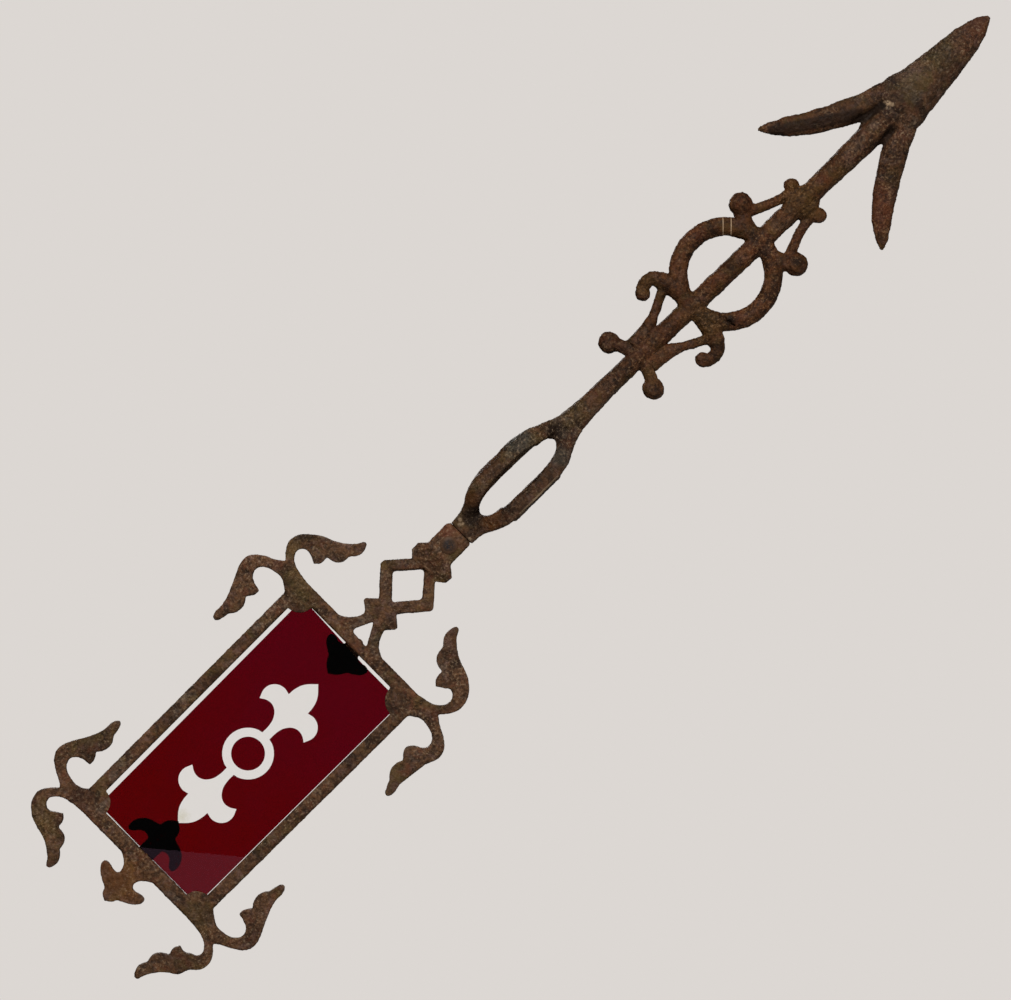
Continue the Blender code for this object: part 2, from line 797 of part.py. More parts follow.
def keeper_pocket(name, x_from, x_to):
    """The recess across the back of an end bar that a keeper's stem lies in."""
    half = KEEPER_STEM_HALF_W + GAP
    box = ((x_from, TAIL_Z - half), (x_to, TAIL_Z - half), (x_to, TAIL_Z + half), (x_from, TAIL_Z + half))
    floor_y = KEEPER_FRONT_Y - GAP
    depth = FRAME_THICK
    return plate(name, [box], depth, y=floor_y + depth / 2)


def screw_x(inside_x, inwards):
    """The keeper screw's place, in the middle of the end bar."""
    return inside_x - inwards * END_BAR_W / 2


def screw_hole(name, x, depth):
    """A hole for a keeper's screw, from far behind the back face to depth in front of the frame's middle."""
    return cylinder(name, SCREW_R + GAP, -12, depth, SIDE_VIEW, centre=(x, TAIL_Z), sides=20)


def tail_frame(material):
    casting, socket_bore = socket()
    foot, foot_opening = bracket()
    pieces = [*lattice(), foot, *frame_bars(), *leaves(), finial()]
    # The exact solver drops whole plates where many eased edges cross, so the tail uses the other one.
    for piece in pieces:
        combine(casting, piece, "UNION", solver="MANIFOLD")
    cuts = [
        foot_opening,
        socket_bore,
        rivet_hole("socket_hole"),
        keeper_pocket("pocket_tail", FRAME_TAIL_X + POCKET_WALL, INSIDE_TAIL_X + 1),
        keeper_pocket("pocket_neck", INSIDE_NECK_X - 1, FRAME_NECK_X - POCKET_WALL),
        screw_hole("screw_hole_tail", screw_x(INSIDE_TAIL_X, 1), GAP - SCREW_END_Y),
        screw_hole("screw_hole_neck", screw_x(INSIDE_NECK_X, -1), GAP - SCREW_END_Y),
    ]
    for cut in cuts:
        combine(casting, cut, "DIFFERENCE", solver="MANIFOLD")
    return finish_part(casting, "tail_frame", material)


# ---- Pane, keepers and screws ----


def pane_outline():
    return (
        (PANE_TAIL_X, PANE_LOW_Z + PANE_NIP),
        (PANE_TAIL_X + PANE_NIP, PANE_LOW_Z),
        (PANE_NECK_X, PANE_LOW_Z),
        (PANE_NECK_X, PANE_NECK_BEND_Z[0]),
        (PANE_NECK_TOP_X, PANE_NECK_BEND_Z[1]),
        (PANE_NECK_TOP_X, PANE_TOP_NECK_Z - PANE_NIP),
        (PANE_NECK_TOP_X - PANE_NIP, PANE_TOP_NECK_Z),
        (PANE_TAIL_TOP_X + PANE_NIP, PANE_TOP_TAIL_Z),
        (PANE_TAIL_TOP_X, PANE_TOP_TAIL_Z - PANE_NIP),
        (PANE_TAIL_X, PANE_TAIL_BEND_Z),
    )


def motif_quarter():
    """The clear ornament's edge in one quarter, about its own centre, from the tip to the ring."""
    return (
        (47.2, 0.0),
        (42.0, 4.6, SMOOTH),
        (37.4, 6.2, SMOOTH),
        (33.8, 6.5),
        (34.4, 10.6, SMOOTH),
        (32.0, 15.0, SMOOTH),
        (27.6, 16.6, SMOOTH),
        (22.6, 15.0),
        (24.6, 11.4, SMOOTH),
        (24.4, 7.4, SMOOTH),
        (21.0, 3.8, SMOOTH),
        (16.6, 2.5, SMOOTH),
        (12.0, 2.4),
    )


def motif_outline():
    """The whole ornament: a fleur on each side of a ring, as one closed edge."""
    quarter = motif_quarter()
    start = math.atan2(2.4, 12.0)
    arc = []
    for i in range(1, 16):
        a = start + (math.pi - 2 * start) * i / 16
        arc.append((MOTIF_RING_OUT * math.cos(a), MOTIF_RING_OUT * math.sin(a)))
    upper = list(quarter) + arc + [(-u, v, *s) for u, v, *s in reversed(quarter)]
    lower = [(u, -v, *s) for u, v, *s in reversed(upper[1:-1])]
    return [(MOTIF_X + u, MOTIF_Z + v, *s) for u, v, *s in upper + lower]


def pane(glass, ruby):
    """The clear sheet, the ruby layer behind it and the layer's round island inside the motif's ring."""
    sheet_y = PANE_FRONT_Y + GLASS_THICK / 2
    flash_y = PANE_FRONT_Y + GLASS_THICK + GAP + FLASH_THICK / 2
    sheet = plate("sheet", [pane_outline()], GLASS_THICK, y=sheet_y)
    flash = plate("flash", [pane_outline(), motif_outline()], FLASH_THICK, y=flash_y, steps=4)
    island = plate("island", [circle(MOTIF_X, MOTIF_Z, MOTIF_RING_IN, 40)], FLASH_THICK, y=flash_y)
    finish_part(sheet, "pane_glass", glass)
    finish_part(flash, "pane_ruby_layer", ruby)
    finish_part(island, "pane_ruby_disc", ruby)


def keeper(name, inside_x, inwards, half, material):
    """A fleur-de-lis plate behind the glass, its stem in the end bar's pocket."""
    stem_end = (POCKET_WALL + GAP - END_BAR_W, KEEPER_STEM_HALF_W)
    outline = fleur(inside_x, TAIL_Z, inwards, (stem_end, *half))
    body = plate(name, [outline], KEEPER_THICK, edge=0.5, y=KEEPER_FRONT_Y + KEEPER_THICK / 2)
    combine(body, screw_hole(f"{name}_hole", screw_x(inside_x, inwards), 12), "DIFFERENCE")
    return finish_part(body, name, material)


def keeper_screw(name, inside_x, inwards, material):
    """A round-headed screw put in from the back."""
    seat = KEEPER_FRONT_Y + KEEPER_THICK + GAP
    profile = (
        (0, SCREW_END_Y),
        (SCREW_R, SCREW_END_Y),
        (SCREW_R, seat),
        (SCREW_HEAD_R, seat),
        (SCREW_HEAD_R, seat + 0.6),
        (1.6, seat + 1.4),
        (0, seat + 1.7),
    )
    screw = turned(name, profile, screw_x(inside_x, inwards), TAIL_Z, sides=20)
    return finish_part(screw, name, material)


clear_scene()
parts = new_collection("weathervane_arrow")
tools = new_collection("cutters", hidden=True)

iron = new_material("cast_iron", (0.09, 0.06, 0.045), 0.4, 0.85)
steel = new_material("rivet_steel", (0.07, 0.075, 0.08), 0.7, 0.6)
clear_glass = new_material("clear_glass", (0.85, 0.87, 0.86), 0.0, 0.1, alpha=0.35)
ruby_glass = new_material("ruby_glass", (0.25, 0.0, 0.01), 0.0, 0.08, alpha=0.75)

arrow_casting(iron)
tail_frame(iron)
neck_rivet(steel)
pane(clear_glass, ruby_glass)
keeper("keeper_tail", INSIDE_TAIL_X, 1, TAIL_KEEPER_HALF, iron)
keeper("keeper_neck", INSIDE_NECK_X, -1, NECK_KEEPER_HALF, iron)
keeper_screw("keeper_screw_tail", INSIDE_TAIL_X, 1, steel)
keeper_screw("keeper_screw_neck", INSIDE_NECK_X, -1, steel)
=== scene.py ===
"""Looks of the lightning-rod arrow: rusty cast iron, ruby flashed glass and soft studio light.

Lengths are in metres, in the part's own frame: +X to the tip, +Z up the rod, +Y from front to back.
"""

import math

import bpy
import numpy as np
from mathutils import Euler, Matrix, Vector
from mathutils.bvhtree import BVHTree


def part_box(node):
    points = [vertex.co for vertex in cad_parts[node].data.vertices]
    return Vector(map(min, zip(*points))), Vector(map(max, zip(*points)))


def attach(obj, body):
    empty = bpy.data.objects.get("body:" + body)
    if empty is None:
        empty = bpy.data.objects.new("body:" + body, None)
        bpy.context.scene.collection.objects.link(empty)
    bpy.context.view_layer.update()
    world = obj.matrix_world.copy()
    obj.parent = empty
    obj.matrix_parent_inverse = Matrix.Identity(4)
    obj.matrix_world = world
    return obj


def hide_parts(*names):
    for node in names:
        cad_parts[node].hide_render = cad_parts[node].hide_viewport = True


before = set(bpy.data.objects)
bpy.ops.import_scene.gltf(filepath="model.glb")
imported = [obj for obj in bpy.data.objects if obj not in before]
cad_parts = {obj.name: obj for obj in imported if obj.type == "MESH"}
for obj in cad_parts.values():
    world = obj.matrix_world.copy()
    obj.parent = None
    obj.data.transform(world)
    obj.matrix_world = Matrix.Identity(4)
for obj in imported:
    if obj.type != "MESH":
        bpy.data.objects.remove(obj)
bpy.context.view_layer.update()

MM = 0.001

# Camera: square to the front face, rolled so that the arrow points up and to the right
VIEW_CENTRE = Vector((-0.0114, 0, -0.0035))
VIEW_WIDTH = 0.4833
VIEW_ROLL = math.radians(44.7)
LENS_MM = 200
SENSOR_MM = 36

BACKDROP = (0.716, 0.680, 0.651)
THROUGH_GLASS = 1.06  # how much brighter the backdrop is where clear glass covers it
FILL = 0.05  # the backdrop's light on the iron
DARK_ROOM = 0.012  # what glossy surfaces mirror

# A dim window behind the camera. Its mirror image lies over the pane's low tail corner.
WINDOW_DISTANCE = 1.5
WINDOW_SIZE = 0.35
WINDOW_EDGE = (Vector((-0.251, 0, 0.0)), Vector((-0.221, 0, -0.036)))  # where its edge shows on the pane
WINDOW_WATTS = 0.15
WINDOW_COLOUR = (1.0, 0.56, 0.84)

KEY_PLACE = (0.75, -1.8, 1.0)
KEY_SIZE = 0.5
KEY_WATTS = 38
BACK_PLACE = (0.2, 2.2, 0.9)
BACK_SIZE = 1.0
BACK_WATTS = 24

FLOOR_RADIUS = 1.0
FLOOR_SIDES = 64
FLOOR_Z = -0.75


# ---- Node helpers ----


class Graph:
    """A shader node tree with short ways to add and join nodes."""

    def __init__(self, tree):
        self.tree = tree
        tree.nodes.clear()

    def add(self, kind, inputs=None, **settings):
        """A new node. inputs maps a socket's name or number to a value, a colour or a node's output."""
        node = self.tree.nodes.new(kind)
        for name, value in settings.items():
            setattr(node, name, value)
        for key, value in (inputs or {}).items():
            socket = node.inputs[key]
            if isinstance(value, bpy.types.NodeSocket):
                self.tree.links.new(value, socket)
            elif isinstance(value, tuple) and len(value) == 3 and socket.type == "RGBA":
                socket.default_value = (*value, 1.0)
            else:
                socket.default_value = value
        return node

    def place(self):
        """The point being shaded, in the part's frame."""
        return self.add("ShaderNodeTexCoord").outputs["Object"]

    def noise(self, at, grain, detail=4.0, roughness=0.55, distortion=0.0):
        """Fractal noise from 0 to 1 with features about grain across."""
        inputs = {
            "Vector": at,
            "Scale": 1 / grain,
            "Detail": detail,
            "Roughness": roughness,
            "Distortion": distortion,
        }
        return self.add("ShaderNodeTexNoise", inputs).outputs["Fac"]

    def step(self, value, low, high, to_low=0.0, to_high=1.0):
        """value from low to high, eased into to_low to to_high."""
        inputs = {"Value": value, "From Min": low, "From Max": high, "To Min": to_low, "To Max": to_high}
        return self.add("ShaderNodeMapRange", inputs, interpolation_type="SMOOTHSTEP").outputs["Result"]

    def math(self, operation, *values, clamp=False):
        inputs = dict(enumerate(values))
        return self.add("ShaderNodeMath", inputs, operation=operation, use_clamp=clamp).outputs[0]

    def vector_math(self, operation, a, b, result):
        return self.add("ShaderNodeVectorMath", {0: a, 1: b}, operation=operation).outputs[result]

    def mix(self, factor, a, b, blend="MIX"):
        """Colour a going to colour b."""
        inputs = {"Factor": factor, 6: a, 7: b}
        return self.add("ShaderNodeMix", inputs, data_type="RGBA", blend_type=blend).outputs[2]

    def near(self, at, centre, radius, wobble):
        """1 near centre, fading to 0 at about radius, with an uneven edge from wobble, a noise."""
        offset = self.vector_math("DISTANCE", at, centre, "Value")
        reach = self.math("MULTIPLY_ADD", wobble, -radius, radius * 0.5)
        return self.step(self.math("ADD", offset, reach), radius, radius * 0.35)

    def line(self, at, start, end, half_width, fade):
        """1 within half_width of the line from start to end, both (x, z), as seen from the front. It fades
        to 0 over a further distance."""
        start, end = Vector((start[0], 0, start[1])), Vector((end[0], 0, end[1]))
        along = (end - start).normalized()
        across = along.cross(Vector((0, 1, 0)))
        away = self.vector_math("SUBTRACT", at, (start + end) / 2, "Vector")
        run = self.vector_math("DOT_PRODUCT", away, along, "Value")
        off = self.vector_math("DOT_PRODUCT", away, across, "Value")
        beyond = self.math("SUBTRACT", self.math("ABSOLUTE", run), (end - start).length / 2 - half_width)
        outside = self.math("MAXIMUM", self.math("ABSOLUTE", off), beyond)
        return self.step(outside, half_width + fade, half_width)

    def shade(self, **inputs):
        """The material's Principled shader, joined to its output."""
        named = {name.replace("_", " "): value for name, value in inputs.items()}
        shader = self.add("ShaderNodeBsdfPrincipled", named)
        self.add("ShaderNodeOutputMaterial", {"Surface": shader.outputs[0]})
        return shader

    def bump(self, height, distance, normal=None, strength=1.0):
        """A normal that follows height, a noise, on top of another bump's normal."""
        inputs = {"Height": height, "Distance": distance, "Strength": strength}
        if normal:
            inputs["Normal"] = normal
        return self.add("ShaderNodeBump", inputs).outputs[0]


def new_material(name):
    material = bpy.data.materials.new(name)
    material.use_nodes = True
    return material, Graph(material.node_tree)


# ---- Iron and steel ----

# Dark scale on the iron, also used as painted shade
DARK_SCALE_AND_SHADE = (0.012, 0.006, 0.0035)
BROWN = (0.047, 0.024, 0.013)
WARM_BROWN = (0.104, 0.053, 0.028)
MAUVE = (0.112, 0.064, 0.050)
RED_RUST = (0.100, 0.035, 0.020)
ORANGE_RUST = (0.150, 0.058, 0.018)
OLIVE = (0.080, 0.056, 0.020)
GREY = (0.120, 0.094, 0.075)
SLATE = (0.055, 0.058, 0.048)
# Pale crust, also used for the painted highlight on the eye pad's rim
CRUST_AND_HIGHLIGHT = (0.240, 0.175, 0.115)
CHALK = (0.62, 0.46, 0.31)
MIDDLE_TINT = (1.0, 0.80, 0.64)
STEEL_BLUE = (0.019, 0.018, 0.022)
STEEL_BROWN = (0.044, 0.026, 0.017)
SMALL_STAIN = 0.004  # stains with a smaller radius get a finer edge

# Patina over the brown: (grain, detail, roughness, distortion, the noise's value where it starts,
# its value where it is full, cover, colour)
PATINA = (
    (0.0048, 4, 0.6, 0.5, 0.52, 0.66, 0.75, MAUVE),
    (0.013, 4, 0.6, 0.4, 0.50, 0.66, 0.6, OLIVE),
    (0.011, 5, 0.7, 0.0, 0.54, 0.66, 0.45, GREY),
    (0.0085, 5, 0.7, 0.5, 0.50, 0.34, 0.75, DARK_SCALE_AND_SHADE),
)

# Places of marks on the iron. A line is its two ends, each (x, z).
MIDDLE = (0.150, 0, 0)
RIVET = (-0.0458, -0.0085, 0.0002)
# Where painted shade lies on the upper barb's lower side and between the barbs' roots
BARB_LOWER_SIDE = ((0.2020, 0.0326), (0.2390, 0.0080))
BARB_ROOTS = (((0.2350, 0.0062), (0.2490, 0.0038)), ((0.2330, -0.0095), (0.2450, -0.0072)))
SCRATCHES = (((0.1512, 0.0131), (0.1579, 0.0199)), ((0.1539, 0.0104), (0.1607, 0.0172)))
# The painted highlight along the eye pad's rim, then the painted shade line outside it
PAD_HIGHLIGHT = ((0.0145, -0.0130), (-0.0110, -0.0130))
PAD_SHADE_LINE = ((0.0110, -0.0139), (-0.0080, -0.0138))


def iron_material(name, red, light, grain, patches, marks=()):
    """Old rusty cast iron. red is how much of it is red rust, light is how bright it is, grain is how
    strong its pits and crumbs are, patches are (centre, radius, colour, strength) stains, and marks are
    functions that add a small detail each."""
    material, g = new_material(name)
    at = g.place()
    broad = g.noise(at, 0.022, 3)
    blotch = g.noise(at, 0.0065, 5, 0.6, 0.3)
    mottle = g.noise(at, 0.0030, 4, 0.6, 0.4)
    fine = g.noise(at, 0.0012, 3, 0.7)

    colour = g.mix(g.step(mottle, 0.38, 0.62), BROWN, WARM_BROWN)
    colour = g.mix(g.step(blotch, 0.50, 0.64, 0, red), colour, RED_RUST)
    for *texture, starts, full, cover, layer in PATINA:
        colour = g.mix(g.step(g.noise(at, *texture), starts, full, 0, cover), colour, layer)
    for centre, radius, stain, strength in patches:
        wobble = fine if radius < SMALL_STAIN else blotch
        cover = g.math("MULTIPLY", g.near(at, centre, radius, wobble), strength)
        colour = g.mix(cover, colour, stain)

    # Dark scale and painted shade in the hollows, and dulled metal on the crests, from the shape's own
    # curvature
    crest = g.add("ShaderNodeNewGeometry").outputs["Pointiness"]
    colour = g.mix(g.step(crest, 0.50, 0.43, 0, 0.8), colour, DARK_SCALE_AND_SHADE)
    colour = g.mix(g.step(crest, 0.52, 0.60, 0, 0.5), colour, GREY)

    # Small dark pits and small pale crumbs of crust, thicker in some places than in others
    grainy = g.step(broad, 0.36, 0.62, 0.35 * grain, grain)
    colour = g.mix(g.math("MULTIPLY", g.step(fine, 0.50, 0.38), grainy), colour, DARK_SCALE_AND_SHADE)
    colour = g.mix(g.math("MULTIPLY", g.step(fine, 0.55, 0.66), grainy), colour, CRUST_AND_HIGHLIGHT)
    for mark in marks:
        colour = mark(g, at, colour)
    value = g.step(g.noise(at, 0.015, 3), 0.34, 0.66, 0.78 * light, 1.22 * light)
    toning = {"Saturation": 1.06, "Value": value, "Color": colour}
    tone = g.add("ShaderNodeHueSaturation", toning).outputs[0]

    rough = g.step(mottle, 0.3, 0.7, 0.52, 0.74)
    dents = g.bump(fine, 0.0006, strength=0.5)
    lumps = g.bump(mottle, 0.0020, dents, strength=0.7)
    g.shade(Base_Color=tone, Roughness=rough, Normal=lumps, Specular_IOR_Level=0.18)
    return material


def arrow_stains():
    """Where the arrow casting's patina differs from the rest: (centre, radius, colour, strength)."""
    return [
        # The eye's limbs, then painted shade in the hollows at its two ends
        ((0.012, -0.012, 0.012), 0.010, SLATE, 0.7),
        ((0.021, -0.012, -0.007), 0.007, SLATE, 0.6),
        ((-0.021, -0.008, 0.0085), 0.008, ORANGE_RUST, 0.55),
        ((-0.022, -0.008, -0.005), 0.008, ORANGE_RUST, 0.55),
        ((-0.0270, -0.006, 0.0022), 0.0085, DARK_SCALE_AND_SHADE, 0.92),
        ((0.0280, -0.006, 0.0028), 0.0072, DARK_SCALE_AND_SHADE, 0.85),
        # Crumbs on the shoulder beside the socket
        ((-0.0352, -0.0065, 0.0036), 0.0014, CRUST_AND_HIGHLIGHT, 0.8),
        ((-0.0334, -0.0065, 0.0052), 0.0014, CRUST_AND_HIGHLIGHT, 0.8),
        ((-0.0338, -0.0065, 0.0028), 0.0011, CHALK, 0.3),
        ((-0.0366, -0.0065, -0.0047), 0.0012, CHALK, 0.4),
        # The ornament, the head and the lower barb
        ((0.115, -0.004, -0.010), 0.014, OLIVE, 0.55),
        ((0.189, -0.004, 0.0), 0.012, OLIVE, 0.45),
        # A grey patch along the head's upper edge: partly grey patina, partly a painted sheen
        ((0.270, -0.004, 0.0115), 0.013, GREY, 0.3),
        ((0.284, -0.006, 0.002), 0.011, OLIVE, 0.4),
        ((0.308, -0.003, -0.001), 0.012, RED_RUST, 0.55),
        ((0.212, -0.003, -0.028), 0.016, RED_RUST, 0.5),
        # Darker in the crack and in a corner of the lower scrolls
        ((0.1250, -0.004, -0.0181), 0.0038, DARK_SCALE_AND_SHADE, 0.95),
        ((0.1676, -0.004, -0.0206), 0.0036, DARK_SCALE_AND_SHADE, 0.85),
        # Specks between the barbs' roots
        ((0.2503, -0.0066, 0.0045), 0.0018, CHALK, 1.0),
        ((0.2513, -0.0066, 0.0028), 0.0021, CHALK, 1.0),
        ((0.2495, -0.0066, 0.0021), 0.0015, CHALK, 0.8),
        ((0.2524, -0.0066, 0.0005), 0.0014, CHALK, 0.6),
    ]


def barb_shade(g, at, colour):
    """Painted shade on the lower side of the upper barb and between the barbs' roots and the shaft."""
    lower_side = g.line(at, *BARB_LOWER_SIDE, 2.0 * MM, 1.8 * MM)
    colour = g.mix(g.math("MULTIPLY", lower_side, 0.75), colour, DARK_SCALE_AND_SHADE)
    for ends in BARB_ROOTS:
        painted_shade = g.line(at, *ends, 1.0 * MM, 1.8 * MM)
        colour = g.mix(g.math("MULTIPLY", painted_shade, 0.85), colour, DARK_SCALE_AND_SHADE)
    return colour


def warm_middle(g, at, colour):
    """The shaft and the ring are rustier than the head and the eye."""
    return g.mix(g.near(at, MIDDLE, 0.12, 0.5), colour, MIDDLE_TINT, "MULTIPLY")


def ring_scratches(g, at, colour):
    """Two parallel pale lines across the ring."""
    for ends in SCRATCHES:
        scratch = g.line(at, *ends, 0.14 * MM, 0.1 * MM)
        colour = g.mix(g.math("MULTIPLY", scratch, 0.7), colour, CHALK)
    return colour


def pad_edge_light_and_shade(g, at, colour):
    """A painted highlight along the rim of the eye's lower pad, with a line of painted shade outside it.
    """
    # Painted highlight along the pad's rim
    rim = g.line(at, *PAD_HIGHLIGHT, 0.30 * MM, 0.3 * MM)
    colour = g.mix(g.math("MULTIPLY", rim, 0.7), colour, CRUST_AND_HIGHLIGHT)
    # Painted shade line outside the rim
    painted_shade = g.line(at, *PAD_SHADE_LINE, 0.25 * MM, 0.3 * MM)
    return g.mix(g.math("MULTIPLY", painted_shade, 0.9), colour, DARK_SCALE_AND_SHADE)


def tail_stains():
    """The tail casting's stains: (centre, radius, colour, strength)."""
    return [
        ((-0.0415, -0.006, 0.0065), 0.006, RED_RUST, 0.7),
        ((-0.0475, -0.006, -0.006), 0.006, OLIVE, 0.5),
        ((-0.270, -0.003, -0.005), 0.016, ORANGE_RUST, 0.4),
        ((-0.262, -0.003, 0.036), 0.014, RED_RUST, 0.3),
        ((-0.108, -0.003, 0.036), 0.013, OLIVE, 0.45),
        ((-0.258, -0.003, -0.042), 0.012, OLIVE, 0.4),
    ]


def steel_material():
    """The rivet's and screws' heads: rusty, and blue-black in the middle of the rivet."""
    material, g = new_material("rivet_steel_look")
    at = g.place()
    mottle = g.noise(at, 0.0019, 4)
    fine = g.noise(at, 0.0006, 3)
    colour = g.mix(g.step(mottle, 0.42, 0.62), STEEL_BLUE, STEEL_BROWN)
    colour = g.mix(g.step(fine, 0.52, 0.64, 0, 0.8), colour, WARM_BROWN)
    colour = g.mix(g.near(at, RIVET, 0.0044, mottle), WARM_BROWN, colour)
    rough = g.step(mottle, 0.3, 0.7, 0.45, 0.8)
    normal = g.bump(fine, 0.0003, g.bump(mottle, 0.0007, strength=0.6), strength=0.5)
    g.shade(Base_Color=colour, Roughness=rough, Normal=normal, Specular_IOR_Level=0.2)
    return material


# ---- Rough copies of the castings ----

CRACK = ((0.1240, -0.0125), (0.1243, -0.0215))
SOCKET_SLOPE = (-0.0525, -0.0630)  # X where the socket's faces start and stop sloping to the lattice
LATTICE_HALF = 3.4 * MM
RIVET_SEAT = 7.0 * MM  # from the middle plane to the underside of each rivet head

# Soft fillets where the barbs meet the head: (corner, outwards, radius, amount)
FILLETS = (
    ((0.2570, 0.0100), (0.2, 0.98), 14 * MM, 1.5 * MM),
    ((0.2535, -0.0146), (0.35, -0.94), 11 * MM, 0.8 * MM),
)

# Hollows beside the barbs' roots, then at the eye's two ends: (start, end, width, depth)
VALLEYS = (
    ((0.2345, 0.0062), (0.2520, 0.0034), 2.3 * MM, 3.6 * MM),
    ((0.2330, -0.0095), (0.2560, -0.0060), 2.2 * MM, 3.3 * MM),
    ((0.0255, 0.0018), (0.0335, 0.0012), 3.2 * MM, 2.6 * MM),
    ((-0.0245, 0.0012), (-0.0315, 0.0014), 3.0 * MM, 2.4 * MM),
)

LUMP_GRAIN = 4.5 * MM
PIT_GRAIN = 1.6 * MM
INWARD_SHARE = 0.4  # how much of the lumps' and pits' relief lies inside the smooth surface
VALLEY_SHARE = 0.6  # the most of the local half thickness that a valley may take
HEAD_SHARE = 0.45  # how much of its height the worn rivet keeps
HOLD_REACH = 2.6 * MM  # from the resting pane, to past the height that it lifts


def meshed(obj, name):
    """A new object with obj's shape after its modifiers."""
    bpy.context.view_layer.update()
    graph = bpy.context.evaluated_depsgraph_get()
    mesh = bpy.data.meshes.new_from_object(obj.evaluated_get(graph))
    made = bpy.data.objects.new(name, mesh)
    bpy.context.scene.collection.objects.link(made)
    return made


def move_points(obj, moved):
    """Replaces obj's points by moved(points, normals)."""
    mesh = obj.data
    points = np.empty(len(mesh.vertices) * 3)
    mesh.vertices.foreach_get("co", points)
    normals = np.array([normal.vector for normal in mesh.vertex_normals])
    mesh.vertices.foreach_set("co", moved(points.reshape(-1, 3), normals).ravel())
    mesh.update()


def along_line(points, start, end):
    """(share of the way from start to end, distance from that line) for each point, seen from the front.
    start and end are (x, z)."""
    start, end = np.array(start), np.array(end)
    away = points[:, [0, 2]] - start
    way = end - start
    length = np.hypot(*way)
    run = away @ way / length
    side = np.abs(away @ np.array([-way[1], way[0]]) / length)
    beyond = np.maximum(np.maximum(-run, run - length), 0)
    return run / length, np.hypot(side, beyond)


def add_pitting(obj, grain, depth, kind="SOFT_NOISE"):
    """Roughens the surface in lumps about grain across. depth is from the lowest point to the highest."""
    texture = bpy.data.textures.new(f"pitting_{grain * 1e4:.0f}", "CLOUDS")
    texture.noise_scale = grain
    texture.noise_depth = 3
    texture.noise_type = kind
    pitting = obj.modifiers.new("pitting", "DISPLACE")
    pitting.texture = texture
    pitting.texture_coords = "LOCAL"
    pitting.mid_level = INWARD_SHARE
    pitting.strength = depth


def cast_copy(node, name, voxel, softening, lumps, pits, swell=0.0):
    """The CAD node as a rough casting: its edges and joins softened, its surface lumpy and pitted, and
    moved out by swell. It stays inside the node's box."""
    start = bpy.data.objects.new(f"{name}_start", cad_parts[node].data.copy())
    bpy.context.scene.collection.objects.link(start)
    remesh = start.modifiers.new("even_mesh", "REMESH")
    remesh.mode = "VOXEL"
    remesh.voxel_size = voxel
    soften = start.modifiers.new("soft_joins", "SMOOTH")
    soften.factor = 0.5
    soften.iterations = softening
    add_pitting(start, LUMP_GRAIN, lumps)
    add_pitting(start, PIT_GRAIN, pits, "HARD_NOISE")
    made = meshed(start, name)
    bpy.data.objects.remove(start)
    made.data.shade_smooth()
    low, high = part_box(node)
    move_points(made, lambda points, normals: np.clip(points + swell * normals, low, high))
    return made


def thin_towards(obj, start_x, end_x, end_half):
    """Slopes both faces evenly, from full height at start_x to a half thickness of end_half at end_x."""

    def thinned(points, _):
        inside = (points[:, 0] < start_x) & (points[:, 0] > end_x)
        share = np.interp(points[:, 0], (end_x, start_x), (0.0, 1.0))
        above = np.maximum(np.abs(points[:, 1]) - end_half, 0)
        moved = points.copy()
        moved[:, 1] -= np.where(inside, np.sign(points[:, 1]) * above * (1 - share), 0)
        return moved

    move_points(obj, thinned)


def press_valley(obj, start, end, width, depth):
    """Sinks a round valley into both faces, fading from start to end."""

    def pressed(points, _):
        share, off = along_line(points, start, end)
        amount = depth * np.exp(-((off / width) ** 2)) * np.clip(1.15 - share, 0, 1)
        moved = points.copy()
        moved[:, 1] -= np.sign(points[:, 1]) * np.minimum(amount, VALLEY_SHARE * np.abs(points[:, 1]))
        return moved

    move_points(obj, pressed)


def hold_back(obj, node, beside):
    """Near the CAD node beside, moves points that stand out of the CAD node back on to its surface."""
    surface = BVHTree.FromObject(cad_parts[node], bpy.context.evaluated_depsgraph_get())
    low, high = np.array(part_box(beside))

    def held(points, _):
        close = np.all((points > low - HOLD_REACH) & (points < high + HOLD_REACH), axis=1)
        moved = points.copy()
        for i in np.flatnonzero(close):
            point = Vector(points[i])
            nearest, normal, _, _ = surface.find_nearest(point)
            if (point - nearest).dot(normal) > 0:
                moved[i] = nearest
        return moved

    move_points(obj, held)


def fill_corner(obj, corner, outwards, radius, amount):
    """Swells the outline at an inside corner into a soft fillet. corner and outwards are (x, z)."""

    def filled(points, _):
        reach = np.hypot(*(points[:, [0, 2]] - np.array(corner)).T) / radius
        push = amount * np.clip(1 - reach**2, 0, 1) ** 2
        return points + np.outer(push, (outwards[0], 0, outwards[1]))

    move_points(obj, filled)


def flatten_head(obj, face, share):
    """Lowers both heads of a rivet to a share of their height above face."""

    def flattened(points, _):
        above = np.maximum(np.abs(points[:, 1]) - face, 0)
        moved = points.copy()
        moved[:, 1] -= np.sign(points[:, 1]) * above * (1 - share)
        return moved

    move_points(obj, flattened)


def cut_crack(obj, start, end, width, depth):
    """Opens a narrow wandering crack in the front face."""

    def cracked(points, normals):
        share, _ = along_line(points, start, end)
        sway = 0.3 * width * np.sin(share * 17)
        _, off = along_line(points + np.outer(sway, (1, 0, 0)), start, end)
        amount = depth * np.clip(1 - off / width, 0, 1) * (normals[:, 1] < 0.1)
        return points - normals * amount[:, None]

    move_points(obj, cracked)


def finish_piece(obj, material, body, slot, *nodes):
    """Gives the piece its material and body, and lets it stand for CAD nodes."""
    obj.data.materials.clear()
    obj.data.materials.append(material)
    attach(obj, body)
    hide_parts(*nodes)


def dress(node, material):
    """A CAD node that keeps its own shape gets a finished material."""
    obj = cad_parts[node]
    for slot in obj.material_slots:
        slot.material = material


